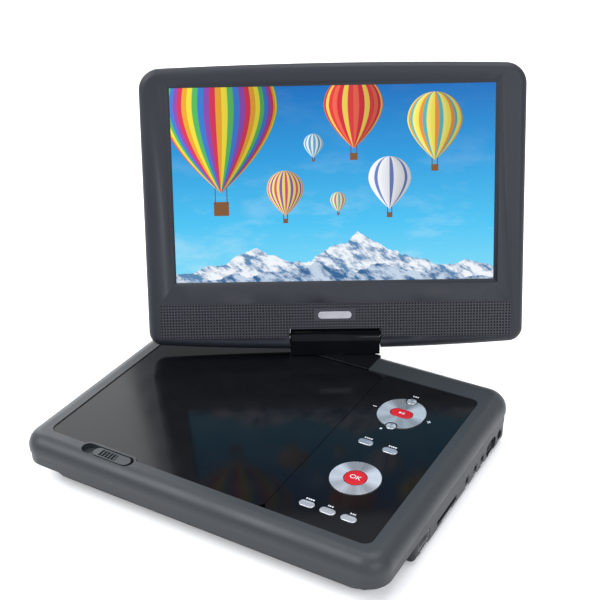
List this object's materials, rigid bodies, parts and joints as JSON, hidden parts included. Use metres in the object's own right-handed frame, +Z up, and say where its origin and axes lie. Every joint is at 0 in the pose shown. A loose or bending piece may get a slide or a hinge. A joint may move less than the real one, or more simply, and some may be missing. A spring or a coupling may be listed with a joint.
{
  "type": "portable dvd player",
  "caption": "Clamshell portable disc player: slate base with gloss black lid and keys, and a widescreen display on a swivelling, tilting hinge block.",
  "frame": {"origin": "centre of the base's plan, on the plane that the rubber feet rest on", "axes": "+X to the right of the base, toward the side with the sockets; +Y from the front edge with the latch toward the hinge; +Z up"},
  "size_m": [0.2456, 0.2742, 0.2045],
  "materials": {
    "rim": "satin metallic slate paint",
    "lower_shell": "fine matte slate plastic",
    "gloss_black": "polished black",
    "silver_key": "brushed silver paint",
    "red_key": "gloss red",
    "inner_black": "matte black moulding",
    "steel": "brushed",
    "shaft_steel": "polished",
    "rubber": "matte",
    "board": "green solder mask",
    "battery": "blue shrink wrap",
    "gear": "natural acetal",
    "bezel": "fine matte blue-grey",
    "screen_back": "satin",
    "lcd": "satin display face",
    "grille": "fine matte, perforated",
    "sensor": "silver-grey tinted",
    "lens": "polished"
  },
  "bodies": {
    "base": {"base_top_cover": "rim", "base_bottom_cover": "lower_shell", "port_panel": "lower_shell", "hinge_platform": "gloss_black", "control_panel": "gloss_black", "disc_tray": "inner_black", "rubber_feet": "rubber", "base_screws": "steel", "battery_pack": "battery", "battery_door": "lower_shell", "main_board": "board", "key_board": "board", "dc_jack": "inner_black", "audio_jacks": "inner_black", "usb_socket": "steel", "card_socket": "steel", "drive_chassis": "steel", "chassis_dampers": "rubber", "guide_rods": "shaft_steel", "spindle_motor": "steel", "sled_motor": "steel", "lid_hinge_pins": "shaft_steel", "swivel_bracket": "steel", "swivel_washer": "shaft_steel"},
    "disc_lid": {"disc_lid": "gloss_black"},
    "lid_latch": {"lid_latch": "rim"},
    "turntable": {"spindle_hub": "inner_black"},
    "pickup": {"pickup_sled": "inner_black", "sled_rack": "gear", "pickup_lens": "lens"},
    "idler_gear": {"idler_gear": "gear"},
    "motor_pinion": {"motor_pinion": "gear"},
    "volume_pad": {"volume_pad": "silver_key"},
    "play_button": {"play_button": "red_key"},
    "mute_button": {"mute_button": "silver_key"},
    "stop_button": {"stop_button": "silver_key"},
    "setup_button": {"setup_button": "silver_key"},
    "menu_button": {"menu_button": "silver_key"},
    "direction_gimbal": {"direction_gimbal": "steel"},
    "direction_ring": {"direction_ring": "silver_key"},
    "ok_button": {"ok_button": "red_key"},
    "source_button": {"source_button": "silver_key"},
    "previous_button": {"previous_button": "silver_key"},
    "next_button": {"next_button": "silver_key"},
    "power_switch": {"power_switch": "inner_black"},
    "hinge": {"swivel_post": "steel", "swivel_plate": "gloss_black", "swivel_retainer": "shaft_steel", "tilt_shaft": "shaft_steel", "hinge_cap_front": "gloss_black", "hinge_cap_rear": "gloss_black"},
    "screen": {"screen_bezel": "bezel", "screen_rear_cover": "screen_back", "lcd_panel": "lcd", "lcd_frame": "steel", "speaker_grille": "grille", "sensor_window": "sensor", "speakers": "inner_black", "screen_board": "board", "tilt_brackets": "steel"}
  },
  "joints": [
    {"name": "screen_swivel", "type": "hinge", "parent": "base", "child": "hinge", "pos_m": [0, 0.079, 0.0311], "axis": [0, 0, 1], "range_deg": [-29.5, 150.5]},
    {"name": "screen_tilt", "type": "hinge", "parent": "hinge", "child": "screen", "pos_m": [0, 0.079, 0.0404], "axis": [-0.8704, -0.4924, 0], "range_deg": [-108, 32]},
    {"name": "lid_hinge", "type": "hinge", "parent": "base", "child": "disc_lid", "pos_m": [-0.0314, 0.0658, 0.0256], "axis": [-1, 0, 0], "range_deg": [0, 8]},
    {"name": "latch_slide", "type": "slide", "parent": "base", "child": "lid_latch", "axis": [-1, 0, 0], "range_m": [0, 0.004], "stiffness_N_per_m": 150, "springref_m": -0.002},
    {"name": "disc_spin", "type": "hinge", "parent": "base", "child": "turntable", "pos_m": [-0.0314, -0.004, 0.0242], "axis": [0, 0, 1], "continuous": true},
    {"name": "pickup_slide", "type": "slide", "parent": "base", "child": "pickup", "axis": [0, -1, 0], "range_m": [0, 0.034]},
    {"name": "idler_spin", "type": "hinge", "parent": "base", "child": "idler_gear", "pos_m": [-0.05495, -0.02, 0.015], "axis": [0, 0, 1], "range_deg": [-5, 500]},
    {"name": "pinion_spin", "type": "hinge", "parent": "base", "child": "motor_pinion", "pos_m": [-0.05495, -0.0294, 0.015], "axis": [0, 0, 1], "range_deg": [-1480, 5]},
    {"name": "volume_rock", "type": "hinge", "parent": "base", "child": "volume_pad", "pos_m": [0.0683, 0.0348, 0.0276], "axis": [0, 1, 0], "range_deg": [-2.2, 2.2], "stiffness_Nm_per_rad": 0.08},
    {"name": "play_press", "type": "slide", "parent": "base", "child": "play_button", "axis": [0, 0, -1], "range_m": [0, 0.0006], "stiffness_N_per_m": 500, "springref_m": -0.0006},
    {"name": "mute_press", "type": "slide", "parent": "base", "child": "mute_button", "axis": [0, 0, -1], "range_m": [0, 0.0006], "stiffness_N_per_m": 500, "springref_m": -0.0006},
    {"name": "stop_press", "type": "slide", "parent": "base", "child": "stop_button", "axis": [0, 0, -1], "range_m": [0, 0.0006], "stiffness_N_per_m": 500, "springref_m": -0.0006},
    {"name": "setup_press", "type": "slide", "parent": "base", "child": "setup_button", "axis": [0, 0, -1], "range_m": [0, 0.0006], "stiffness_N_per_m": 500, "springref_m": -0.0006},
    {"name": "menu_press", "type": "slide", "parent": "base", "child": "menu_button", "axis": [0, 0, -1], "range_m": [0, 0.0006], "stiffness_N_per_m": 500, "springref_m": -0.0006},
    {"name": "direction_up_down", "type": "hinge", "parent": "base", "child": "direction_gimbal", "pos_m": [0.0725, -0.0314, 0.0276], "axis": [1, 0, 0], "range_deg": [-2.2, 2.2], "stiffness_Nm_per_rad": 0.08},
    {"name": "direction_left_right", "type": "hinge", "parent": "direction_gimbal", "child": "direction_ring", "pos_m": [0.0725, -0.0314, 0.0276], "axis": [0, 1, 0], "range_deg": [-2.2, 2.2], "stiffness_Nm_per_rad": 0.08},
    {"name": "ok_press", "type": "slide", "parent": "base", "child": "ok_button", "axis": [0, 0, -1], "range_m": [0, 0.0006], "stiffness_N_per_m": 500, "springref_m": -0.0006},
    {"name": "source_press", "type": "slide", "parent": "base", "child": "source_button", "axis": [0, 0, -1], "range_m": [0, 0.0006], "stiffness_N_per_m": 500, "springref_m": -0.0006},
    {"name": "previous_press", "type": "slide", "parent": "base", "child": "previous_button", "axis": [0, 0, -1], "range_m": [0, 0.0006], "stiffness_N_per_m": 500, "springref_m": -0.0006},
    {"name": "next_press", "type": "slide", "parent": "base", "child": "next_button", "axis": [0, 0, -1], "range_m": [0, 0.0006], "stiffness_N_per_m": 500, "springref_m": -0.0006},
    {"name": "power_slide", "type": "slide", "parent": "base", "child": "power_switch", "axis": [0, 1, 0], "range_m": [0, 0.003]}
  ],
  "couplings": [
    {"joint": "idler_spin", "follows": "pickup_slide", "rad_per_m": 240.96},
    {"joint": "pinion_spin", "follows": "pickup_slide", "rad_per_m": -647.3}
  ]
}
